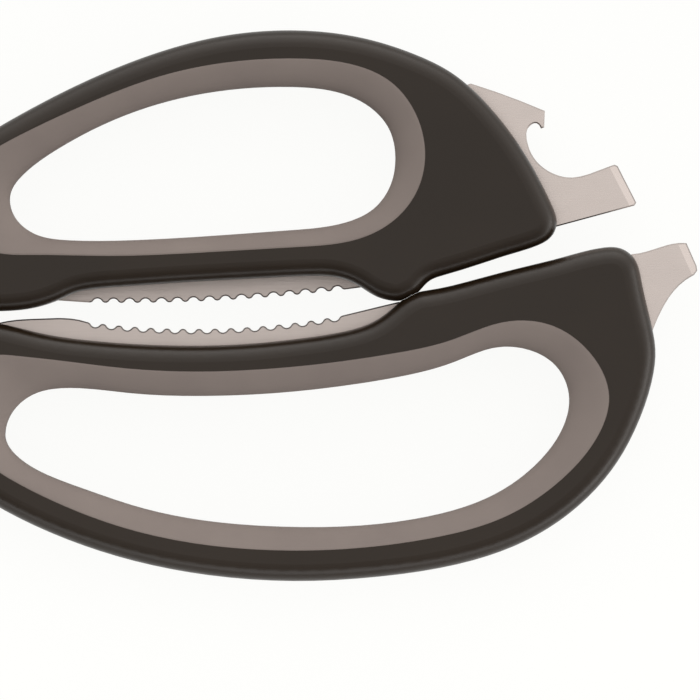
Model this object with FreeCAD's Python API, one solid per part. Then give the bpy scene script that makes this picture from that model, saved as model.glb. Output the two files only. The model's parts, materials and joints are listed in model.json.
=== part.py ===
import FreeCAD, Part

import math
import os

# Kitchen shears, lying flat and closed, in millimetres.
# Drawn about the pivot: blades towards -X, handles towards +X, +Z up through the front face.
# The finished pieces are then moved so that the origin is the middle of the footprint.
# The lower handle's blade lies in front (higher), the upper handle's blade behind it.

# Handle shells
HANDLE_THICKNESS = 12.0
EDGE_ROUND = 2.6
SEAM_GROOVE_WIDTH = 0.3
SEAM_GROOVE_DEPTH = 0.25
NECK_TAPER_START = 25.5
NECK_FRONT = 13.0
NECK_DROP = 1.8
POST_RADIUS = 1.6
POST_CLEARANCE = 0.1
SOCKET_DEPTH = 3.0

# Soft grip liners inside the finger loops
LINER_STEP = 0.03
LINER_LIP = 0.25
LINER_BAND = 7.2
FLARE_FROM = 8.0
FLARE_TO = 62.0
RIB_DEPTH = 0.9
RIB_WIDTH = 3.0

# Blades, each one plate from the tip through the handle to its end tool
BLADE_THICKNESS = 2.5
BLADE_GAP = 0.05
BLADE_LENGTH = 95.0
BLADE_HEIGHT = 11.6
SPINE_POWER = 2.6
HEEL_OVERLAP = 2.6
TIP_OVERLAP = 0.9
HEEL_PLACE = 14.5
TIP_HEIGHT = 0.9
RICASSO_RADIUS = 12.0
GRIND_START = 15.5
GRIND_WIDTH = 6.5
GRIND_SLANT = 0.6
EDGE_LAND = 0.35
BONE_NOTCH_RADIUS = 4.6
BONE_NOTCH_PLACE = 21.5
BONE_NOTCH_DEPTH = 4.4

# Toothed jaws between the handles
TOOTH_PITCH = 2.48
TOOTH_DEPTH = 0.65
VALLEY_SHARE = 0.56
VALLEY_COUNT = 16
UPPER_FIRST_VALLEY = 46.05
LOWER_FIRST_VALLEY = 45.7

# Closing stop: a flat on each handle, facing each other across a small gap
STOP_PLACE = (94.8, 3.195)
STOP_ANGLE = 27.0
STOP_GAP = 0.03
STOP_REACH = 8.0
STOP_DEPTH = 1.0

# Driver tips at the ends of the tangs
TIP_THICKNESS = 1.9
TIP_BEVEL = 1.2

# Pivot, from the front: bolt head, both blades, glide washer, spring washer, nut
PIVOT_RADIUS = 3.0
PIVOT_CLEARANCE = 0.05
KEY_RADIUS = 3.7
KEY_HALF_FLAT = 3.1
KEY_CLEARANCE = 0.03
BOLT_HEAD_RADIUS = 6.2
BOLT_HEAD_HEIGHT = 1.7
BOLT_HEAD_ROUND = 0.8
SLOT_WIDTH = 1.3
SLOT_DEPTH = 0.8
THREAD_RADIUS = 2.5
THREAD_CLEARANCE = 0.02
WASHER_BORE_CLEARANCE = 0.1
FACE_CLEARANCE = 0.02
GLIDE_WASHER_RADIUS = 5.6
GLIDE_WASHER_THICKNESS = 0.5
SPRING_WASHER_RADIUS = 5.0
SPRING_WASHER_THICKNESS = 0.4
SPRING_WASHER_RISE = 0.25
NUT_ACROSS_FLATS = 8.0
NUT_HEIGHT = 1.7
NUT_CHAMFER = 0.3
THREAD_CHAMFER = 0.3

# Outline of the upper handle, from the neck along the jaw, round the end and back over the top
UPPER_HANDLE = [
    (13.0, 5.0), (14.2, 2.05), (17.4, 0.75), (24.0, 0.6), (31.0, 0.75), (35.0, 1.05), (38.2, 1.8),
    (40.4, 2.65), (42.6, 3.6), (45.6, 4.2), (51.0, 4.65), (59.0, 5.2), (70.0, 5.8), (79.0, 6.2),
    (83.4, 5.95), (86.5, 4.75), (89.2, 3.1), (91.3, 2.45), (93.1, 2.4), (94.6, 2.96), (95.8, 3.68),
    (96.7, 4.65), (97.8, 5.6), (99.6, 6.28), (104.8, 7.86), (110.0, 9.55), (114.3, 10.93),
    (116.5, 12.35), (117.3, 14.4), (116.5, 17.3), (111.6, 26.3), (105.2, 34.2), (101.1, 37.65),
    (95.5, 40.5), (86.8, 43.2), (76.0, 44.3), (65.1, 43.35), (52.7, 39.9), (40.3, 34.5),
    (31.0, 29.45), (25.0, 25.7), (19.6, 21.2), (15.6, 15.8), (13.3, 9.4),
]

# Outline of the lower handle, from the neck round the underside, up the end and back along the jaw
LOWER_HANDLE = [
    (13.3, -9.4), (15.6, -15.8), (19.6, -21.2), (25.0, -25.9), (31.0, -29.75), (40.3, -34.2),
    (52.7, -38.2), (65.1, -40.4), (77.5, -41.1), (89.9, -40.4), (102.3, -38.4), (112.8, -34.7),
    (121.7, -28.5), (126.9, -22.3), (130.1, -16.1), (132.1, -9.9), (132.6, -5.2), (131.8, -0.6),
    (130.4, 5.6), (129.4, 8.8), (127.2, 10.5), (124.4, 10.6), (117.8, 9.0), (111.6, 7.47),
    (104.8, 5.7), (98.6, 4.2), (96.9, 3.93), (95.8, 3.7), (94.6, 3.2), (93.4, 2.5), (92.1, 1.4),
    (90.5, 0.1), (88.6, -1.05), (85.0, -2.25), (77.5, -3.5), (69.7, -4.3), (62.0, -4.6),
    (52.7, -4.4), (44.9, -3.8), (37.2, -2.65), (31.0, -1.2), (24.0, -0.7), (17.6, -0.85),
    (14.3, -2.1), (13.0, -5.0),
]

# Finger loops: the clear hole, and the line where liner and shell meet, point for point
UPPER_LOOP = [
    (32.4, 18.0), (33.5, 14.9), (36.3, 12.75), (41.5, 11.75), (50.0, 11.7), (62.0, 12.3),
    (76.0, 13.3), (84.2, 14.4), (89.0, 16.7), (91.5, 20.2), (92.3, 24.4), (91.3, 29.1),
    (88.3, 32.5), (83.4, 34.75), (76.0, 35.6), (67.0, 35.2), (57.5, 33.5), (47.8, 30.15),
    (39.5, 25.75), (34.4, 21.9),
]
UPPER_LINER = [
    (24.8, 16.9), (26.0, 12.6), (29.0, 10.3), (36.0, 9.46), (48.0, 9.3), (62.0, 9.8),
    (77.5, 10.7), (86.8, 12.0), (92.4, 15.1), (95.8, 19.7), (96.9, 25.0), (95.6, 31.0),
    (91.8, 36.1), (85.5, 39.0), (77.0, 39.9), (67.0, 39.4), (56.0, 37.2), (43.4, 32.4),
    (33.4, 27.66), (27.2, 23.3),
]
LOWER_LOOP = [
    (31.7, -18.3), (32.9, -14.8), (35.9, -12.25), (37.6, -11.62), (40.5, -11.2), (51.0, -11.95),
    (62.5, -12.4), (74.4, -11.9), (83.7, -10.9), (93.0, -9.4), (101.5, -7.1), (107.8, -4.9),
    (113.2, -5.3), (117.2, -7.7), (119.3, -12.6), (118.2, -17.6), (114.6, -22.6), (107.5, -27.8),
    (97.5, -31.1), (86.0, -32.6), (74.0, -32.7), (62.5, -31.75), (52.0, -29.55), (44.0, -26.87),
    (38.2, -24.66), (34.1, -22.25),
]
LOWER_LINER = [
    (25.0, -15.6), (25.9, -9.7), (28.6, -6.5), (33.6, -6.15), (40.0, -6.85), (50.0, -8.05),
    (62.0, -8.6), (73.6, -8.1), (82.9, -7.15), (92.2, -5.75), (101.0, -3.7), (109.0, -0.95),
    (116.2, -1.35), (122.0, -5.2), (125.4, -12.6), (123.8, -18.3), (118.6, -24.8), (109.5, -31.0),
    (98.0, -34.4), (86.0, -36.0), (73.5, -36.3), (61.0, -35.2), (49.5, -32.6), (40.3, -29.14),
    (33.4, -25.72), (28.2, -21.9),
]

# Upper handle's tang: edge beside the liner, end tool with cap lifter and wide driver, edge inside
# the end of the handle, and the plain edges either side of the jaw
UPPER_TANG_LOOP_EDGE = [
    (13.0, 10.4), (19.0, 9.6), (25.0, 7.6), (31.0, 7.2), (46.5, 7.3), (62.0, 7.9), (77.0, 8.8),
    (87.0, 10.1), (93.8, 13.9), (97.6, 19.1), (98.8, 25.0), (99.4, 31.0), (101.4, 34.6), (104.0, 36.1),
]
CAP_LIFTER_TOP = [(104.0, 36.1), (108.5, 34.6), (115.5, 31.85)]
CAP_LIFTER_HOOK = [(115.5, 31.85), (115.4, 29.3), (114.9, 29.1)]
CAP_LIFTER_NOTCH = [
    (114.9, 29.1), (113.9, 29.95), (112.9, 29.2), (112.7, 27.3), (113.9, 24.4), (116.6, 22.2),
    (119.6, 21.5), (122.8, 22.2), (126.3, 23.5),
]
WIDE_DRIVER_TIP = [(126.3, 23.5), (126.8, 23.3), (129.7, 17.6), (129.4, 17.15)]
WIDE_DRIVER_UNDERSIDE = [(129.4, 17.15), (117.2, 13.85)]
UPPER_TANG_END_EDGE = [
    (117.2, 13.85), (112.0, 12.3), (105.0, 10.2), (99.0, 8.2), (93.5, 5.7), (89.2, 4.75),
]
UPPER_JAW = [(85.1, 4.2), (64.0, 2.38), (44.6, 2.1)]
UPPER_TANG_NECK_EDGE = [(41.8, 2.3), (36.0, 2.6), (24.0, 2.3), (15.0, 2.0)]

# Lower handle's tang, in the same order, with a lid lifter and narrow driver
LOWER_TANG_LOOP_EDGE = [
    (13.0, -10.4), (19.0, -8.9), (25.0, -5.3), (31.0, -4.4), (38.0, -5.0), (51.0, -6.4), (63.0, -6.9),
    (74.0, -6.4), (83.0, -5.5), (92.0, -4.1), (100.0, -2.2), (109.0, 0.8), (115.5, 0.7),
    (120.5, -1.2), (124.2, -4.2), (127.6, -5.2), (130.3, -4.4), (132.2, -2.2),
]
LID_LIFTER_UNDERSIDE = [(132.2, -2.2), (133.6, 1.0), (135.5, 3.9), (138.6, 6.35)]
NARROW_DRIVER_TIP = [(138.6, 6.35), (139.1, 7.0), (139.0, 7.8), (137.45, 11.3)]
LID_LIFTER_TOP = [(137.45, 11.3), (133.9, 10.85), (131.6, 10.1), (129.0, 9.6)]
LOWER_TANG_END_EDGE = [
    (129.0, 9.6), (126.5, 8.5), (122.5, 7.8), (114.7, 5.9), (105.4, 3.6), (99.5, 2.0), (95.6, 1.6),
    (92.8, 2.2),
]
LOWER_JAW = [(84.2, 0.1), (63.5, -1.98), (44.6, -0.95)]
LOWER_TANG_NECK_EDGE = [
    (42.4, -0.45), (37.2, -0.4), (32.3, -0.75), (28.0, -1.7), (20.0, -2.2), (15.0, -2.0),
]

# Moulded posts that pass through the tangs and join the two halves of each handle
UPPER_POSTS = [(19.5, 5.9), (103.6, 15.5), (105.2, 25.5)]
LOWER_POSTS = [(19.5, -5.8), (118.6, 3.4), (126.6, 1.2)]

SEAM = HANDLE_THICKNESS / 2
FRONT_FACE = SEAM + BLADE_GAP / 2 + BLADE_THICKNESS
BACK_FACE = SEAM - BLADE_GAP / 2 - BLADE_THICKNESS
SPRING_FRONT = BACK_FACE - FACE_CLEARANCE - GLIDE_WASHER_THICKNESS
NUT_FRONT = SPRING_FRONT - SPRING_WASHER_RISE - SPRING_WASHER_THICKNESS
FAR = 400.0


# Curves and slabs

def vector(point, z=0.0):
    return FreeCAD.Vector(point[0], point[1], z)


def closed_curve(points, z=0.0):
    """One smooth closed wire through the points."""
    spline = Part.BSplineCurve()
    spline.interpolate(Points=[vector(p, z) for p in points], PeriodicFlag=True)
    return Part.Wire([spline.toShape()])


def smooth_edge(points):
    """A straight edge through two points, or a smooth one through more."""
    if len(points) == 2:
        return Part.LineSegment(vector(points[0]), vector(points[1])).toShape()
    spline = Part.BSplineCurve()
    spline.interpolate(Points=[vector(p) for p in points])
    return spline.toShape()


def straight_edges(points):
    return [smooth_edge(pair) for pair in zip(points, points[1:])]


def arc_edge(points):
    return Part.Arc(*[vector(p) for p in points]).toShape()


def slab(wire, low, high):
    """The face inside a wire drawn at z 0, as a solid from low to high."""
    solid = Part.Face(wire).extrude(FreeCAD.Vector(0, 0, high - low))
    solid.translate(FreeCAD.Vector(0, 0, low))
    return solid


def disc(radius, low, high, place=(0.0, 0.0)):
    return Part.makeCylinder(radius, high - low, vector(place, low))


def half_space(low, high):
    return Part.makeBox(FAR, FAR, high - low, FreeCAD.Vector(-FAR / 2, -FAR / 2, low))


def on_circle(radius, degrees):
    angle = math.radians(degrees)
    return (radius * math.cos(angle), radius * math.sin(angle))


def grown(points, distance):
    """The same closed outline with every point moved outwards."""
    area = sum(a[0] * b[1] - b[0] * a[1] for a, b in zip(points, points[1:] + points[:1]))
    turn = math.copysign(1.0, area)
    moved = []
    for before, here, after in zip(points[-1:] + points[:-1], points, points[1:] + points[:1]):
        along = (after[0] - before[0], after[1] - before[1])
        length = math.hypot(*along)
        moved.append((here[0] + turn * distance * along[1] / length,
                      here[1] - turn * distance * along[0] / length))
    return moved


def between(inner, outer, share):
    return [(a[0] + (b[0] - a[0]) * share, a[1] + (b[1] - a[1]) * share) for a, b in zip(inner, outer)]


# Blades

def spine_height(share):
    """Height of the blade's back above the centre line, share being 0 at the pivot and 1 at the tip."""
    return TIP_HEIGHT + (BLADE_HEIGHT - TIP_HEIGHT) * (1 - share ** SPINE_POWER)


def blade_edges(side):
    """Outline of ricasso and blade, side 1 with its back upwards and -1 with its back downwards.

    It runs from the tang's loop edge round the heel and the tip to the tang's neck edge.
    """
    neck_from = on_circle(RICASSO_RADIUS, -side * 76)
    below = on_circle(RICASSO_RADIUS, -side * 115)
    heel_from = on_circle(RICASSO_RADIUS, -side * 152)
    heel = (-HEEL_PLACE, -side * HEEL_OVERLAP)
    edge_tip = (-BLADE_LENGTH, -side * TIP_OVERLAP)
    spine = [(-BLADE_LENGTH * s, side * spine_height(s)) for s in (1.0, 0.85, 0.65, 0.45, 0.25)]
    back_from = on_circle(RICASSO_RADIUS, side * 100)
    above = on_circle(RICASSO_RADIUS, side * 45)
    neck_to = on_circle(RICASSO_RADIUS, -side * 6)
    tip_bow = (-BLADE_LENGTH - TIP_OVERLAP / 2, side * (TIP_HEIGHT - TIP_OVERLAP) / 2)
    edges = [
        arc_edge([neck_from, below, heel_from]),
        smooth_edge([heel_from, heel]),
        smooth_edge([heel, edge_tip]),
        arc_edge([edge_tip, tip_bow, spine[0]]),
        smooth_edge(spine + [back_from]),
        arc_edge([back_from, above, neck_to]),
    ]
    return edges, neck_from, neck_to


def arc_centre(points):
    circle = Part.Arc(*[vector(p) for p in points]).toShape().Curve
    return circle.Center, circle.Radius


def jaw_row(jaw, outward, first_valley):
    """Edges of a row of round teeth along the arc through three points, and the row's two ends.

    The tips lie on the arc, and outward is 1 where they point up and -1 where they point down.
    """
    centre, radius = arc_centre(jaw)
    below = math.copysign(1.0, jaw[1][1] - centre.y)
    slope = 2 * math.atan(2 * TOOTH_DEPTH / TOOTH_PITCH)
    bend = TOOTH_PITCH / 2 / math.sin(slope)
    valley_radius = bend * VALLEY_SHARE
    tip_radius = bend - valley_radius

    def place(x, height):
        y = centre.y + below * math.sqrt(radius ** 2 - (x - centre.x) ** 2)
        return (x, y + outward * height)

    def valley_point(x, turn):
        return place(x + valley_radius * math.sin(turn), valley_radius * (1 - math.cos(turn)) - TOOTH_DEPTH)

    def valley_arc(x):
        return arc_edge([valley_point(x, turn) for turn in (-slope, 0, slope)])

    def tip_point(x, turn):
        return place(x + tip_radius * math.sin(turn), tip_radius * (math.cos(turn) - 1))

    def tip_arc(x, turn_from, turn_to):
        middle = (turn_from + turn_to) / 2
        return arc_edge([tip_point(x, turn) for turn in (turn_from, middle, turn_to)])

    valleys = [first_valley + index * TOOTH_PITCH for index in range(VALLEY_COUNT)]
    row_from = valleys[0] - TOOTH_PITCH / 2
    row_to = valleys[-1] + TOOTH_PITCH / 2
    edges = [valley_arc(x) for x in valleys]
    edges += [tip_arc(x + TOOTH_PITCH / 2, -slope, slope) for x in valleys[:-1]]
    edges += [tip_arc(row_from, 0, slope), tip_arc(row_to, -slope, 0)]
    return edges, place(row_from, 0), place(row_to, 0)


def grind(side):
    """The wedge ground off a blade's outer face along its cutting edge, slanting where it begins."""
    outer = FRONT_FACE if side > 0 else BACK_FACE
    inner = SEAM + side * (BLADE_GAP / 2 + EDGE_LAND)
    heel = (-GRIND_START, -side * HEEL_OVERLAP)
    tip = (-BLADE_LENGTH - 2 * GRIND_WIDTH, -side * TIP_OVERLAP)
    past = side * GRIND_WIDTH
    lean = GRIND_SLANT * GRIND_WIDTH
    depth = outer - inner
    profile = [
        FreeCAD.Vector(heel[0] - lean, heel[1] + past, outer),
        FreeCAD.Vector(heel[0] + lean, heel[1] - past, inner - depth),
        FreeCAD.Vector(heel[0] + lean, heel[1] - past, outer + side * GRIND_WIDTH),
        FreeCAD.Vector(heel[0] - lean, heel[1] + past, outer + side * GRIND_WIDTH),
    ]
    face = Part.Face(Part.makePolygon(profile + profile[:1]))
    return face.extrude(FreeCAD.Vector(tip[0] - heel[0], tip[1] - heel[1], 0))


def tip_bevels(start, end, outer_face, inner_face):
    """Two wedges that thin a driver tip, whose edge runs from start to end, to TIP_THICKNESS."""
    along = vector(end).sub(vector(start)).normalize()
    inwards = FreeCAD.Vector(-along.y, along.x, 0)
    middle = (outer_face + inner_face) / 2
    wedges = []
    for face in (outer_face, inner_face):
        way = math.copysign(1.0, face - middle)
        corner = vector(start, face) - along * TIP_BEVEL
        profile = [
            corner + inwards * TIP_BEVEL,
            corner + FreeCAD.Vector(0, 0, middle + way * TIP_THICKNESS / 2 - face),
            corner - inwards * TIP_BEVEL + FreeCAD.Vector(0, 0, middle + way * TIP_THICKNESS / 2 - face),
            corner - inwards * TIP_BEVEL + FreeCAD.Vector(0, 0, way * TIP_BEVEL),
            corner + inwards * TIP_BEVEL + FreeCAD.Vector(0, 0, way * TIP_BEVEL),
        ]
        wedge = Part.Face(Part.makePolygon(profile + profile[:1]))
        length = vector(end).sub(vector(start)).Length + 2 * TIP_BEVEL
        wedges.append(wedge.extrude(along * length))
    return wedges


def upper_plate_wire():
    edges, neck_from, neck_to = blade_edges(-1)
    teeth, row_from, row_to = jaw_row(UPPER_JAW, -1, UPPER_FIRST_VALLEY)
    edges.append(smooth_edge([row_from] + UPPER_TANG_NECK_EDGE + [neck_to]))
    edges.extend(teeth)
    edges.append(smooth_edge(UPPER_TANG_END_EDGE + [row_to]))
    edges.append(smooth_edge(WIDE_DRIVER_UNDERSIDE))
    edges.extend(straight_edges(WIDE_DRIVER_TIP))
    edges.append(smooth_edge(CAP_LIFTER_NOTCH))
    edges.extend(straight_edges(CAP_LIFTER_HOOK))
    edges.append(smooth_edge(CAP_LIFTER_TOP))
    edges.append(smooth_edge([neck_from] + UPPER_TANG_LOOP_EDGE))
    return Part.Wire(Part.__sortEdges__(edges))


def lower_plate_wire():
    edges, neck_from, neck_to = blade_edges(1)
    teeth, row_from, row_to = jaw_row(LOWER_JAW, 1, LOWER_FIRST_VALLEY)
    edges.append(smooth_edge([row_from] + LOWER_TANG_NECK_EDGE + [neck_to]))
    edges.extend(teeth)
    edges.append(smooth_edge([LOWER_TANG_END_EDGE[-1], row_to]))
    edges.append(smooth_edge(LOWER_TANG_END_EDGE))
    edges.append(smooth_edge(LID_LIFTER_TOP))
    edges.extend(straight_edges(NARROW_DRIVER_TIP))
    edges.append(smooth_edge(LID_LIFTER_UNDERSIDE))
    edges.append(smooth_edge([neck_from] + LOWER_TANG_LOOP_EDGE))
    return Part.Wire(Part.__sortEdges__(edges))


def post_holes(posts, low, high):
    return [disc(POST_RADIUS + POST_CLEARANCE, low, high, p) for p in posts]


def back_blade():
    """The upper handle's blade: smooth round bearing hole, bone notch, cap lifter and wide driver."""
    inner = SEAM - BLADE_GAP / 2
    plate = slab(upper_plate_wire(), BACK_FACE, inner)
    share = (BONE_NOTCH_PLACE - HEEL_PLACE) / (BLADE_LENGTH - HEEL_PLACE)
    edge_height = HEEL_OVERLAP + (TIP_OVERLAP - HEEL_OVERLAP) * share
    notch_centre = (-BONE_NOTCH_PLACE, edge_height + BONE_NOTCH_RADIUS - BONE_NOTCH_DEPTH)
    cuts = [
        disc(PIVOT_RADIUS + PIVOT_CLEARANCE, 0, HANDLE_THICKNESS),
        disc(BONE_NOTCH_RADIUS, 0, HANDLE_THICKNESS, notch_centre),
        grind(-1),
    ]
    cuts += post_holes(UPPER_POSTS, 0, HANDLE_THICKNESS)
    cuts += tip_bevels(WIDE_DRIVER_TIP[2], WIDE_DRIVER_TIP[1], BACK_FACE, inner)
    return plate.cut(cuts)


def key_shape(radius, half_flat, low, high):
    """A round bar with two flats."""
    bar = disc(radius, low, high)
    width = 2 * radius + 1
    corner = FreeCAD.Vector(-width / 2, -half_flat, low)
    return bar.common(Part.makeBox(width, 2 * half_flat, high - low, corner))


def front_blade():
    """The lower handle's blade: keyed hole for the bolt, lid lifter and narrow driver."""
    inner = SEAM + BLADE_GAP / 2
    plate = slab(lower_plate_wire(), inner, FRONT_FACE)
    cuts = [
        key_shape(KEY_RADIUS + KEY_CLEARANCE, KEY_HALF_FLAT + KEY_CLEARANCE, 0, HANDLE_THICKNESS),
        grind(1),
    ]
    cuts += post_holes(LOWER_POSTS, 0, HANDLE_THICKNESS)
    cuts += tip_bevels(NARROW_DRIVER_TIP[2], NARROW_DRIVER_TIP[3], FRONT_FACE, inner)
    return plate.cut(cuts)


# Grip liners

def loop_flare(loop, liner, low, high):
    """The space that opens from the loop at low to the liner's lip at high, its wall a part of a round."""
    lip = grown(liner, -LINER_LIP)
    start, end = math.radians(FLARE_FROM), math.radians(FLARE_TO)
    wires = []
    for step in range(5):
        angle = start + (end - start) * step / 4
        outwards = (math.cos(start) - math.cos(angle)) / (math.cos(start) - math.cos(end))
        upwards = (math.sin(angle) - math.sin(start)) / (math.sin(end) - math.sin(start))
        wires.append(closed_curve(between(loop, lip, outwards), low + (high - low) * upwards))
    return Part.makeLoft(wires, True, False)


def grip_liner(loop, liner):
    low, high = LINER_STEP, HANDLE_THICKNESS - LINER_STEP
    band_low, band_high = SEAM - LINER_BAND / 2, SEAM + LINER_BAND / 2
    ring = slab(closed_curve(liner), low, high)
    rib = slab(closed_curve(grown(liner, RIB_DEPTH)), SEAM - RIB_WIDTH / 2, SEAM + RIB_WIDTH / 2)
    flares = [
        slab(closed_curve(loop), band_low, band_high),
        loop_flare(loop, liner, band_high, high),
        loop_flare(loop, liner, band_low, low),
    ]
    return ring.fuse(rib).removeSplitter().cut(flares)


# Handle shells

def side_profile():
    """The handles seen from the side: flat front and back, thinner towards the pivot."""
    run = NECK_TAPER_START - NECK_FRONT
    bend = (run ** 2 + NECK_DROP ** 2) / (2 * NECK_DROP)
    reach = NECK_TAPER_START - 2 * run
    turn = math.asin((NECK_TAPER_START - reach) / bend)
    sag = bend * (1 - math.cos(turn))
    half_sag = bend * (1 - math.cos(turn / 2))
    half_reach = NECK_TAPER_START - bend * math.sin(turn / 2)

    def point(x, z):
        return FreeCAD.Vector(x, -FAR / 2, z)

    top = HANDLE_THICKNESS
    front_arc = [point(NECK_TAPER_START, top), point(half_reach, top - half_sag), point(reach, top - sag)]
    back_arc = [point(reach, sag), point(half_reach, half_sag), point(NECK_TAPER_START, 0)]
    edges = [
        Part.LineSegment(point(NECK_TAPER_START, 0), point(FAR, 0)).toShape(),
        Part.LineSegment(point(FAR, 0), point(FAR, top)).toShape(),
        Part.LineSegment(point(FAR, top), point(NECK_TAPER_START, top)).toShape(),
        Part.Arc(*front_arc).toShape(),
        Part.LineSegment(point(reach, top - sag), point(reach, sag)).toShape(),
        Part.Arc(*back_arc).toShape(),
    ]
    return Part.Face(Part.Wire(edges)).extrude(FreeCAD.Vector(0, FAR, 0))


def rim_edges(block):
    """The edges where the upright wall of a handle meets its front and back faces."""
    rims = []
    for edge in block.Edges:
        faces = block.ancestorsOfType(edge, Part.Face)
        upright = [f for f in faces if abs(f.normalAt(*middle_of(f)).z) < 0.05]
        if len(faces) == 2 and len(upright) == 1:
            rims.append(edge)
    return rims


def middle_of(face):
    u0, u1, v0, v1 = face.ParameterRange
    return (u0 + u1) / 2, (v0 + v1) / 2


def stop_trim(side):
    """The block that trims a handle at the closing stop, side 1 for the upper handle, -1 for the lower."""
    low = -STOP_DEPTH if side > 0 else -STOP_GAP / 2
    high = STOP_GAP / 2 if side > 0 else STOP_DEPTH
    corner = FreeCAD.Vector(-STOP_REACH / 2, low, 0)
    trim = Part.makeBox(STOP_REACH, high - low, HANDLE_THICKNESS, corner)
    trim.rotate(FreeCAD.Vector(), FreeCAD.Vector(0, 0, 1), STOP_ANGLE)
    trim.translate(vector(STOP_PLACE))
    return trim


def seam_groove(outline):
    """The space round a handle that leaves a fine groove along its seam."""
    low, high = SEAM - SEAM_GROOVE_WIDTH / 2, SEAM + SEAM_GROOVE_WIDTH / 2
    return half_space(low, high).cut(slab(closed_curve(grown(outline, -SEAM_GROOVE_DEPTH)), low, high))


def handle_shells(outline, liner_solid, loop_fill, plate_wire, posts, plate_in_front):
    """Front and back half of one handle, joined on the seam plane.

    The half that holds the tang has a pocket for it and posts through it, and the other half has sockets.
    """
    block = slab(closed_curve(outline), 0, HANDLE_THICKNESS).common(side_profile())
    block = block.makeFillet(EDGE_ROUND, rim_edges(block))
    stop = stop_trim(-1 if plate_in_front else 1)
    block = block.cut([liner_solid, loop_fill, stop, seam_groove(outline)])
    front = block.common(half_space(SEAM, HANDLE_THICKNESS))
    back = block.common(half_space(0, SEAM))
    if plate_in_front:
        pocket = slab(plate_wire, SEAM, FRONT_FACE)
        post_low, post_high = SEAM - SOCKET_DEPTH, FRONT_FACE
    else:
        pocket = slab(plate_wire, BACK_FACE, SEAM)
        post_low, post_high = BACK_FACE, SEAM + SOCKET_DEPTH
    pins = [disc(POST_RADIUS, post_low, post_high, p) for p in posts]
    sockets = post_holes(posts, post_low - POST_CLEARANCE, post_high + POST_CLEARANCE)
    if plate_in_front:
        return front.cut(pocket).fuse(pins).removeSplitter(), back.cut(sockets)
    return front.cut(sockets), back.cut(pocket).fuse(pins).removeSplitter()


# Pivot hardware

def pivot_bolt():
    inner = SEAM + BLADE_GAP / 2
    shank_end = BACK_FACE - FACE_CLEARANCE
    nut_end = NUT_FRONT - NUT_HEIGHT
    head = disc(BOLT_HEAD_RADIUS, FRONT_FACE, FRONT_FACE + BOLT_HEAD_HEIGHT)
    crown = [e for e in head.Edges if e.BoundBox.ZMin > FRONT_FACE + BOLT_HEAD_HEIGHT / 2]
    head = head.makeFillet(BOLT_HEAD_ROUND, crown)
    slot_low = FRONT_FACE + BOLT_HEAD_HEIGHT - SLOT_DEPTH
    slot = Part.makeBox(3 * BOLT_HEAD_RADIUS, SLOT_WIDTH, 2 * SLOT_DEPTH,
                        FreeCAD.Vector(-1.5 * BOLT_HEAD_RADIUS, -SLOT_WIDTH / 2, slot_low))
    slot.rotate(FreeCAD.Vector(), FreeCAD.Vector(0, 0, 1), 35)
    key = key_shape(KEY_RADIUS, KEY_HALF_FLAT, inner, FRONT_FACE)
    shank = disc(PIVOT_RADIUS, shank_end, inner)
    thread = disc(THREAD_RADIUS, nut_end, shank_end)
    end_edges = [e for e in thread.Edges if e.BoundBox.ZMax < nut_end + THREAD_CHAMFER]
    thread = thread.makeChamfer(THREAD_CHAMFER, end_edges)
    return head.cut(slot).fuse([key, shank, thread]).removeSplitter()


def glide_washer():
    high = BACK_FACE - FACE_CLEARANCE
    low = high - GLIDE_WASHER_THICKNESS
    bore = THREAD_RADIUS + WASHER_BORE_CLEARANCE
    return disc(GLIDE_WASHER_RADIUS, low, high).cut(disc(bore, low, high))


def spring_washer():
    """A shallow cone that keeps the blades pressed together."""
    high = SPRING_FRONT
    bore = THREAD_RADIUS + WASHER_BORE_CLEARANCE
    inner_top = high - SPRING_WASHER_RISE
    profile = [
        FreeCAD.Vector(SPRING_WASHER_RADIUS, 0, high),
        FreeCAD.Vector(bore, 0, inner_top),
        FreeCAD.Vector(bore, 0, inner_top - SPRING_WASHER_THICKNESS),
        FreeCAD.Vector(SPRING_WASHER_RADIUS, 0, high - SPRING_WASHER_THICKNESS),
    ]
    face = Part.Face(Part.makePolygon(profile + profile[:1]))
    return face.revolve(FreeCAD.Vector(), FreeCAD.Vector(0, 0, 1), 360)


def pivot_nut():
    high = NUT_FRONT
    low = high - NUT_HEIGHT
    corner_radius = NUT_ACROSS_FLATS / math.sqrt(3)
    corners = [vector(on_circle(corner_radius, 60 * k + 30), low) for k in range(7)]
    hexagon = Part.Face(Part.makePolygon(corners)).extrude(FreeCAD.Vector(0, 0, NUT_HEIGHT))
    turned = Part.makeCone(NUT_ACROSS_FLATS / 2, NUT_ACROSS_FLATS / 2 + NUT_HEIGHT, NUT_HEIGHT,
                           FreeCAD.Vector(0, 0, low - NUT_CHAMFER / 2))
    turned = turned.fuse(disc(corner_radius + 1, low - NUT_CHAMFER / 2 + NUT_HEIGHT, high + 1))
    return hexagon.common(turned).cut(disc(THREAD_RADIUS + THREAD_CLEARANCE, low - 1, high + 1))


# Assembly

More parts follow.
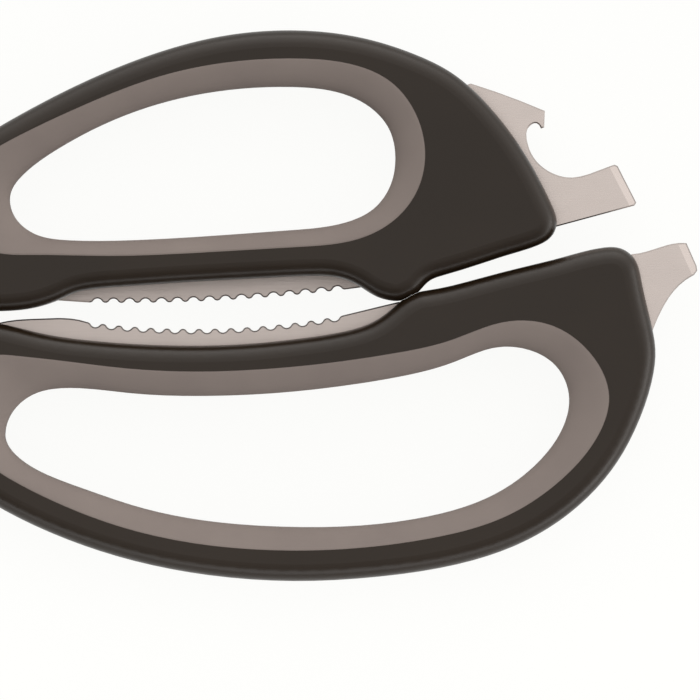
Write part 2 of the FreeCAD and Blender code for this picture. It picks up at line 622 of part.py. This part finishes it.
def build():
    upper_liner = grip_liner(UPPER_LOOP, UPPER_LINER)
    lower_liner = grip_liner(LOWER_LOOP, LOWER_LINER)
    upper_fill = slab(closed_curve(UPPER_LINER), -1, HANDLE_THICKNESS + 1)
    lower_fill = slab(closed_curve(LOWER_LINER), -1, HANDLE_THICKNESS + 1)
    upper_front, upper_back = handle_shells(
        UPPER_HANDLE, upper_liner, upper_fill, upper_plate_wire(), UPPER_POSTS, False)
    lower_front, lower_back = handle_shells(
        LOWER_HANDLE, lower_liner, lower_fill, lower_plate_wire(), LOWER_POSTS, True)
    return {
        "back_blade": back_blade(),
        "front_blade": front_blade(),
        "upper_handle_front_shell": upper_front,
        "upper_handle_back_shell": upper_back,
        "lower_handle_front_shell": lower_front,
        "lower_handle_back_shell": lower_back,
        "upper_grip_liner": upper_liner,
        "lower_grip_liner": lower_liner,
        "pivot_bolt": pivot_bolt(),
        "glide_washer": glide_washer(),
        "spring_washer": spring_washer(),
        "pivot_nut": pivot_nut(),
    }


def main():
    pieces = build()
    box = FreeCAD.BoundBox()
    for shape in pieces.values():
        box.add(shape.BoundBox)
    to_origin = FreeCAD.Vector(-box.Center.x, -box.Center.y, 0)
    os.makedirs("parts", exist_ok=True)
    for name, shape in pieces.items():
        shape.translate(to_origin)
        shape.exportStep(os.path.join("parts", name + ".step"))
        volume = round(shape.Volume, 1)
        print(name, "solids", len(shape.Solids), "valid", shape.isValid(), "volume", volume)
    print("pivot at", round(to_origin.x, 4), round(to_origin.y, 4))
    print("size", round(box.XLength, 2), round(box.YLength, 2), HANDLE_THICKNESS)


main()
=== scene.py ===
import json
import math

import bpy
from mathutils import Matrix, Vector


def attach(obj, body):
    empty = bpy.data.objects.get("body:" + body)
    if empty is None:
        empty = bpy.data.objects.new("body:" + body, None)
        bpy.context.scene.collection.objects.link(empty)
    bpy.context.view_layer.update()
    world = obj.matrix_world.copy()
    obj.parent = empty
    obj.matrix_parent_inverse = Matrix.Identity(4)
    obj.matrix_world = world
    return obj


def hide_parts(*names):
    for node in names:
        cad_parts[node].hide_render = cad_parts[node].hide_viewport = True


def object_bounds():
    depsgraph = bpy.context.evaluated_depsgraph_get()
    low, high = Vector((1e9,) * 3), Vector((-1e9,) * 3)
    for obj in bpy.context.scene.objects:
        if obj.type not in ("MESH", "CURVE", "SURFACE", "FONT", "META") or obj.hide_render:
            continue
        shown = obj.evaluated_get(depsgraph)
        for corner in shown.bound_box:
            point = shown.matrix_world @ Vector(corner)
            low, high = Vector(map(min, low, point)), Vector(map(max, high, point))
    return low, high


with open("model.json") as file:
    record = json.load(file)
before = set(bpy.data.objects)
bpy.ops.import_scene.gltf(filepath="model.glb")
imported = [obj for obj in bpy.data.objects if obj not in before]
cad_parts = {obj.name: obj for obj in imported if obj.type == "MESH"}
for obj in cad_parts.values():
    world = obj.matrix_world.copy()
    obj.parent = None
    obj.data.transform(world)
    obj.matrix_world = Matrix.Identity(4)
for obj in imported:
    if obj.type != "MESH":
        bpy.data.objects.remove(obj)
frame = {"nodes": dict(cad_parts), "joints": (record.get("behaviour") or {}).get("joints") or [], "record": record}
cad_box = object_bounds()

# Where the photograph sees the shears
PHOTO_PIXELS = 700
METRES_PER_PIXEL = 0.000155
PIVOT_PIXEL = (-200, 316)
LENS_MM = 900.0
SENSOR_MM = 36.0
RIM_HEIGHT = 0.010

# Light tent: its colour, its radiance straight up, how that changes sideways, and its brighter walls, each
# with the way it lies, how narrow it is and how much it adds
TENT_COLOUR = (1.0, 0.98, 0.955)
TENT_ABOVE = 0.84
TENT_TILT = (0.0, 0.80, 0.0)
TENT_WALLS = [
    ((0.10, 0.99, 0.05), 6.0, 1.0),
    ((0.97, -0.20, 0.14), 8.0, 1.5),
    ((0.99, 0.00, 0.06), 16.0, 1.2),
    ((0.75, -0.65, 0.06), 16.0, 1.5),
]

# Heights, as upward parts of a direction, between which the tent turns white towards the horizon
HORIZON_FROM = 0.16
HORIZON_TO = 0.06

# Strip lamp in front of the lower handle, placed from the middle of the photograph
STRIP_OFFSET = (0.0, -0.056, 0.014)
STRIP_WIDTH = 0.20
STRIP_HEIGHT = 0.014
STRIP_WATTS = 0.0150

# Table top: its size, the room under the shears, its colour as a source of light on the pieces and as the
# eye sees it, and the share of plain white that the eye sees
TABLE_SIZE = 6.0
TABLE_ROOM = 0.0002
TABLE_LIT = (0.45, 0.45, 0.44)
TABLE_SEEN = (0.90, 0.90, 0.88)
TABLE_WHITE = (1.0, 1.0, 0.985)
TABLE_WHITE_SHARE = 0.94
TABLE_ROUGHNESS = 0.9
TABLE_SPECULAR = 0.1

# The middle part of a noise pattern, which is spread over the whole range of a finish
PATTERN_LOW = 0.3
PATTERN_HIGH = 0.7

# Relief of the finishes, in metres
PLASTIC_RELIEF = 0.000004
GRIP_RELIEF = 0.00001
BRUSHED_RELIEF = 0.000003
TURNED_RELIEF = 0.0000012

# Turning marks on the bolt: the scale of their rings, and how uneven they are
TURNED_RINGS = 900.0
TURNED_UNEVEN = 0.4

# Blades: the broken edges of their flat faces, where jaws, ground edges and end tools begin, and their tint
# with how far it wanders
STEEL_BREAK = 0.0002
JAW_START = 0.042
GRIND_START = 0.0155
TOOL_START = 0.097
STEEL_TINT = (1.0, 0.893, 0.844)
STEEL_WANDER = 0.02

# How faces of a blade are told apart, by the upward part of their normals
LEVEL_FACE = 0.96
WALL_FACE = 0.5
BREAK_FACE = (0.5, 0.85)

# Joining of a blade's triangles: points this close are one, and faces this level with each other are one
MERGE_DISTANCE = 0.000002
FLAT_ANGLE = math.radians(0.2)
SMOOTH_ANGLE = math.radians(12)

pivot = Vector(frame["joints"][0]["pos_m"])
photo_centre = Vector((
    pivot.x + (PHOTO_PIXELS / 2 - PIVOT_PIXEL[0]) * METRES_PER_PIXEL,
    pivot.y + (PIVOT_PIXEL[1] - PHOTO_PIXELS / 2) * METRES_PER_PIXEL,
    RIM_HEIGHT,
))


# Materials

def new_material(name):
    """A node material, with its nodes, its links and its shader."""
    material = bpy.data.materials.new(name)
    material.use_nodes = True
    nodes = material.node_tree.nodes
    shader = nodes["Principled BSDF"]
    return material, nodes, material.node_tree.links, shader


def object_noise(nodes, links, stretch, detail=2.0):
    """A noise pattern on the piece itself, stretch being its repeats per metre along X, Y and Z."""
    place = nodes.new("ShaderNodeTexCoord")
    mapping = nodes.new("ShaderNodeMapping")
    mapping.inputs["Scale"].default_value = stretch
    noise = nodes.new("ShaderNodeTexNoise")
    noise.inputs["Scale"].default_value = 1.0
    noise.inputs["Detail"].default_value = detail
    links.new(place.outputs["Object"], mapping.inputs["Vector"])
    links.new(mapping.outputs["Vector"], noise.inputs["Vector"])
    return noise.outputs["Fac"]


def between_values(nodes, links, factor, low, high):
    """A number that goes from low to high with the pattern."""
    spread = nodes.new("ShaderNodeMapRange")
    spread.inputs["From Min"].default_value = PATTERN_LOW
    spread.inputs["From Max"].default_value = PATTERN_HIGH
    spread.inputs["To Min"].default_value = low
    spread.inputs["To Max"].default_value = high
    links.new(factor, spread.inputs["Value"])
    return spread.outputs["Result"]


def between_colours(nodes, links, factor, low, high):
    """A colour that goes from low to high with the pattern."""
    ramp = nodes.new("ShaderNodeValToRGB")
    ramp.color_ramp.elements[0].position = PATTERN_LOW
    ramp.color_ramp.elements[0].color = (*low, 1.0)
    ramp.color_ramp.elements[1].position = PATTERN_HIGH
    ramp.color_ramp.elements[1].color = (*high, 1.0)
    links.new(factor, ramp.inputs["Fac"])
    return ramp.outputs["Color"]


def add_bump(nodes, links, shader, height, depth):
    """Relief of the given depth in metres."""
    bump = nodes.new("ShaderNodeBump")
    bump.inputs["Strength"].default_value = 1.0
    bump.inputs["Distance"].default_value = depth
    links.new(height, bump.inputs["Height"])
    links.new(bump.outputs["Normal"], shader.inputs["Normal"])


def moulded_black():
    """Satin black plastic with the fine grain of an eroded mould."""
    material, nodes, links, shader = new_material("moulded_black")
    grain = object_noise(nodes, links, (4200, 4200, 4200))
    cloud = object_noise(nodes, links, (60, 60, 60))
    colour = between_colours(nodes, links, cloud, (0.0130, 0.0070, 0.0028), (0.0160, 0.0090, 0.0040))
    links.new(colour, shader.inputs["Base Color"])
    links.new(between_values(nodes, links, grain, 0.28, 0.38), shader.inputs["Roughness"])
    shader.inputs["Specular IOR Level"].default_value = 0.42
    add_bump(nodes, links, shader, grain, PLASTIC_RELIEF)
    return material


def soft_grey():
    """Matte warm grey elastomer."""
    material, nodes, links, shader = new_material("soft_grey")
    grain = object_noise(nodes, links, (5200, 5200, 5200))
    cloud = object_noise(nodes, links, (90, 90, 90), 3.0)
    colour = between_colours(nodes, links, cloud, (0.204, 0.170, 0.156), (0.224, 0.188, 0.171))
    links.new(colour, shader.inputs["Base Color"])
    links.new(between_values(nodes, links, grain, 0.66, 0.78), shader.inputs["Roughness"])
    shader.inputs["Specular IOR Level"].default_value = 0.25
    add_bump(nodes, links, shader, grain, GRIP_RELIEF)
    return material


def brushed_steel(name, stretch, rough_low, rough_high, shade):
    """Stainless steel with fine scratches along the stretched way of the pattern."""
    material, nodes, links, shader = new_material(name)
    lines = object_noise(nodes, links, stretch, 3.0)
    cloud = object_noise(nodes, links, (160, 260, 260), 3.0)
    low = [(1.0 - STEEL_WANDER) * shade * share for share in STEEL_TINT]
    high = [(1.0 + STEEL_WANDER) * shade * share for share in STEEL_TINT]
    colour = between_colours(nodes, links, cloud, low, high)
    links.new(colour, shader.inputs["Base Color"])
    shader.inputs["Metallic"].default_value = 1.0
    links.new(between_values(nodes, links, lines, rough_low, rough_high), shader.inputs["Roughness"])
    add_bump(nodes, links, shader, lines, BRUSHED_RELIEF)
    return material


def turned_pivot():
    """Steel of the bolt, nut and spring, with the rings left by turning."""
    material, nodes, links, shader = new_material("turned_pivot")
    place = nodes.new("ShaderNodeTexCoord")
    mapping = nodes.new("ShaderNodeMapping")
    mapping.inputs["Location"].default_value = (-pivot.x, -pivot.y, 0.0)
    rings = nodes.new("ShaderNodeTexWave")
    rings.wave_type = "RINGS"
    rings.rings_direction = "Z"
    rings.inputs["Scale"].default_value = TURNED_RINGS
    rings.inputs["Distortion"].default_value = TURNED_UNEVEN
    links.new(place.outputs["Object"], mapping.inputs["Vector"])
    links.new(mapping.outputs["Vector"], rings.inputs["Vector"])
    wear = object_noise(nodes, links, (900, 900, 900), 3.0)
    colour = between_colours(nodes, links, wear, (0.60, 0.56, 0.53), (0.68, 0.64, 0.61))
    links.new(colour, shader.inputs["Base Color"])
    shader.inputs["Metallic"].default_value = 1.0
    links.new(between_values(nodes, links, wear, 0.26, 0.36), shader.inputs["Roughness"])
    add_bump(nodes, links, shader, rings.outputs["Fac"], TURNED_RELIEF)
    return material


def natural_nylon():
    """Milky plastic of the glide washer."""
    material, nodes, links, shader = new_material("natural_nylon")
    cloud = object_noise(nodes, links, (400, 400, 400), 3.0)
    colour = between_colours(nodes, links, cloud, (0.70, 0.67, 0.60), (0.78, 0.75, 0.69))
    links.new(colour, shader.inputs["Base Color"])
    links.new(between_values(nodes, links, cloud, 0.38, 0.48), shader.inputs["Roughness"])
    return material


FINISHES = {
    "handle_plastic": moulded_black(),
    "soft_grip": soft_grey(),
    "blade_steel": brushed_steel("brushed_blade", (160, 5200, 5200), 0.46, 0.56, 0.60),
    "pivot_steel": turned_pivot(),
    "washer_plastic": natural_nylon(),
}

# A blade's finishes, and the darker steel of painted shade for its broken edges, in the order that its faces
# number them
BLADE_FINISHES_AND_SHADE = [
    FINISHES["blade_steel"],
    brushed_steel("ground_bevel", (5200, 160, 160), 0.30, 0.42, 0.62),
    brushed_steel("fine_tool", (300, 5200, 5200), 0.24, 0.32, 0.69),
    # The chamfers' darker steel is painted shade: it stands in for the dark surroundings that the broken edges
    # reflect
    brushed_steel("dark_edge_painted_shade", (2600, 2600, 2600), 0.40, 0.50, 0.34),
]
GROUND_BEVEL = 1
FINE_TOOL = 2
# The broken edges take the darker steel of painted shade
PAINTED_SHADE_EDGE = 3


# Blades with broken edges

def merged_copy(name):
    """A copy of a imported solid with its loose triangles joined, selected and active."""
    solid = frame["nodes"][name]
    piece = bpy.data.objects.new(name + "_finished", solid.data.copy())
    bpy.context.scene.collection.objects.link(piece)
    bpy.ops.object.select_all(action="DESELECT")
    piece.select_set(True)
    bpy.context.view_layer.objects.active = piece
    bpy.ops.mesh.customdata_custom_splitnormals_clear()
    bpy.ops.object.mode_set(mode="EDIT")
    bpy.ops.mesh.select_all(action="SELECT")
    bpy.ops.mesh.remove_doubles(threshold=MERGE_DISTANCE)
    bpy.ops.mesh.dissolve_limited(angle_limit=FLAT_ANGLE)
    bpy.ops.mesh.select_all(action="DESELECT")
    bpy.ops.object.mode_set(mode="OBJECT")
    return piece


def break_outline(piece, facing, from_x):
    """Chamfers the outline of a blade's face right of from_x, facing being 1 for up and -1 for down."""
    mesh = piece.data
    for face in mesh.polygons:
        face.select = facing * face.normal.z > LEVEL_FACE
    bpy.ops.object.mode_set(mode="EDIT")
    bpy.ops.mesh.select_mode(type="FACE")
    bpy.ops.mesh.inset(thickness=STEEL_BREAK, depth=0.0, use_boundary=True, use_even_offset=True)
    bpy.ops.mesh.select_mode(type="VERT")
    bpy.ops.mesh.select_all(action="DESELECT")
    bpy.ops.object.mode_set(mode="OBJECT")
    level = set()
    walls = set()
    slopes = set()
    for face in mesh.polygons:
        if facing * face.normal.z > LEVEL_FACE:
            level.update(face.vertices)
        elif abs(face.normal.z) < WALL_FACE:
            walls.update(face.vertices)
        elif facing * face.normal.z > 0:
            slopes.update(face.vertices)
    rim = (level & walls) - slopes
    for vertex in mesh.vertices:
        vertex.select = vertex.index in rim and vertex.co.x > from_x
    bpy.ops.object.mode_set(mode="EDIT")
    bpy.ops.transform.translate(value=(0, 0, -facing * STEEL_BREAK))
    bpy.ops.mesh.select_all(action="DESELECT")
    bpy.ops.object.mode_set(mode="OBJECT")


def finished_blade(name, outer):
    """A blade with broken edges, outer being 1 where its outer face looks up and -1 where it looks down."""
    piece = merged_copy(name)
    break_outline(piece, outer, -math.inf)
    break_outline(piece, -outer, pivot.x + JAW_START)
    bpy.ops.object.shade_smooth_by_angle(angle=SMOOTH_ANGLE)
    piece.data.materials.clear()
    for finish in BLADE_FINISHES_AND_SHADE:
        piece.data.materials.append(finish)
    bpy.ops.object.mode_set(mode="EDIT")
    bpy.ops.mesh.select_all(action="SELECT")
    bpy.ops.mesh.bisect(plane_co=(pivot.x + TOOL_START, 0, 0), plane_no=(1, 0, 0))
    bpy.ops.mesh.select_all(action="DESELECT")
    bpy.ops.object.mode_set(mode="OBJECT")
    for face in piece.data.polygons:
        # Chamfered faces get the darker steel of painted shade
        if BREAK_FACE[0] < abs(face.normal.z) < BREAK_FACE[1]:
            face.material_index = PAINTED_SHADE_EDGE
        elif face.center.x > pivot.x + TOOL_START:
            face.material_index = FINE_TOOL
        elif face.center.x < pivot.x - GRIND_START and WALL_FACE < outer * face.normal.z < LEVEL_FACE:
            face.material_index = GROUND_BEVEL
    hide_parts(name)
    return piece


for part in frame["record"]["subparts"]:
    node = frame["nodes"][part["node"]]
    node.data.materials.clear()
    node.data.materials.append(FINISHES[part["material_slot"]])

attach(finished_blade("front_blade", 1), "lower_half")
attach(finished_blade("back_blade", -1), "upper_half")


# Floor, light and camera

def combined(nodes, links, operation, first, second):
    """A math operation on a linked value and a second one, which is a number or linked too."""
    step = nodes.new("ShaderNodeMath")
    step.operation = operation
    links.new(first, step.inputs[0])
    if isinstance(second, float):
        step.inputs[1].default_value = second
    else:
        links.new(second, step.inputs[1])
    return step.outputs["Value"]


def along(nodes, links, direction, way):
    """How far a direction goes along a given way."""
    toward = nodes.new("ShaderNodeVectorMath")
    toward.operation = "DOT_PRODUCT"
    toward.inputs[1].default_value = way
    links.new(direction, toward.inputs[0])
    return toward.outputs["Value"]


def seen_directly(nodes, links):
    """1 for what the eye sees, straight on, in a mirror or through glass, and 0 for light on the pieces."""
    rays = nodes.new("ShaderNodeLightPath").outputs
    mirrored = combined(nodes, links, "MAXIMUM", rays["Is Glossy Ray"], rays["Is Transmission Ray"])
    return combined(nodes, links, "MAXIMUM", rays["Is Camera Ray"], mirrored)


def white_floor():
    """A pale table top that stays white to the eye and keeps a soft shadow."""
    bpy.ops.object.select_all(action="DESELECT")
    bpy.ops.mesh.primitive_plane_add(size=TABLE_SIZE, location=(0, 0, cad_box[0][2] - TABLE_ROOM))
    floor = bpy.context.active_object
    floor.name = "floor"
    material, nodes, links, shader = new_material("table_white")
    eye = seen_directly(nodes, links)
    tone = nodes.new("ShaderNodeMix")
    tone.data_type = "RGBA"
    tone.inputs[6].default_value = (*TABLE_LIT, 1.0)
    tone.inputs[7].default_value = (*TABLE_SEEN, 1.0)
    links.new(eye, tone.inputs[0])
    links.new(tone.outputs[2], shader.inputs["Base Color"])
    shader.inputs["Roughness"].default_value = TABLE_ROUGHNESS
    shader.inputs["Specular IOR Level"].default_value = TABLE_SPECULAR
    glow = nodes.new("ShaderNodeEmission")
    glow.inputs["Color"].default_value = (*TABLE_WHITE, 1.0)
    glow.inputs["Strength"].default_value = 1.0
    mix = nodes.new("ShaderNodeMixShader")
    links.new(combined(nodes, links, "MULTIPLY", eye, TABLE_WHITE_SHARE), mix.inputs["Fac"])
    links.new(shader.outputs["BSDF"], mix.inputs[1])
    links.new(glow.outputs["Emission"], mix.inputs[2])
    links.new(mix.outputs["Shader"], nodes["Material Output"].inputs["Surface"])
    floor.data.materials.append(material)


def tent_wall(nodes, links, direction, way, narrowness, amount):
    """What a brighter wall of the tent adds in each direction."""
    toward = along(nodes, links, direction, Vector(way).normalized())
    front = combined(nodes, links, "MAXIMUM", toward, 0.0)
    fall = combined(nodes, links, "POWER", front, narrowness)
    return combined(nodes, links, "MULTIPLY", fall, amount)


def soft_surround():
    """Light tent, brighter beyond the upper handle and from the right to the lower right, and at least
    white along the horizon."""
    world = bpy.data.worlds.new("light_tent")
    bpy.context.scene.world = world
    world.use_nodes = True
    nodes = world.node_tree.nodes
    links = world.node_tree.links
    background = nodes["Background"]
    direction = nodes.new("ShaderNodeTexCoord").outputs["Generated"]
    total = combined(nodes, links, "ADD", along(nodes, links, direction, TENT_TILT), TENT_ABOVE)
    for way, narrowness, amount in TENT_WALLS:
        wall = tent_wall(nodes, links, direction, way, narrowness, amount)
        total = combined(nodes, links, "ADD", total, wall)
    split = nodes.new("ShaderNodeSeparateXYZ")
    links.new(direction, split.inputs["Vector"])
    low = nodes.new("ShaderNodeMapRange")
    low.interpolation_type = "SMOOTHSTEP"
    low.inputs["From Min"].default_value = HORIZON_FROM
    low.inputs["From Max"].default_value = HORIZON_TO
    links.new(split.outputs["Z"], low.inputs["Value"])
    mix = nodes.new("ShaderNodeMix")
    mix.data_type = "FLOAT"
    links.new(low.outputs["Result"], mix.inputs[0])
    links.new(total, mix.inputs[2])
    links.new(combined(nodes, links, "MAXIMUM", total, 1.0), mix.inputs[3])
    links.new(mix.outputs[0], background.inputs["Strength"])
    background.inputs["Color"].default_value = (*TENT_COLOUR, 1.0)


def strip_lamp():
    """A long low lamp in front of the lower handle, turned towards the middle of the handles."""
    data = bpy.data.lights.new("front_strip", "AREA")
    data.shape = "RECTANGLE"
    data.size = STRIP_WIDTH
    data.size_y = STRIP_HEIGHT
    data.energy = STRIP_WATTS
    lamp = bpy.data.objects.new("front_strip", data)
    lamp.visible_camera = False
    bpy.context.scene.collection.objects.link(lamp)
    lamp.location = photo_centre + Vector(STRIP_OFFSET)
    lamp.rotation_euler = (photo_centre - lamp.location).to_track_quat("-Z", "Y").to_euler()


def photo_camera():
    """Straight above the handles, with the photograph's frame."""
    data = bpy.data.cameras.new("photo_camera")
    data.lens = LENS_MM
    data.sensor_width = SENSOR_MM
    camera = bpy.data.objects.new("photo_camera", data)
    bpy.context.scene.collection.objects.link(camera)
    reach = PHOTO_PIXELS * METRES_PER_PIXEL * LENS_MM / SENSOR_MM
    camera.location = photo_centre + Vector((0, 0, reach))
    bpy.context.scene.camera = camera


white_floor()
soft_surround()
strip_lamp()
photo_camera()
bpy.context.scene.view_settings.view_transform = "Standard"
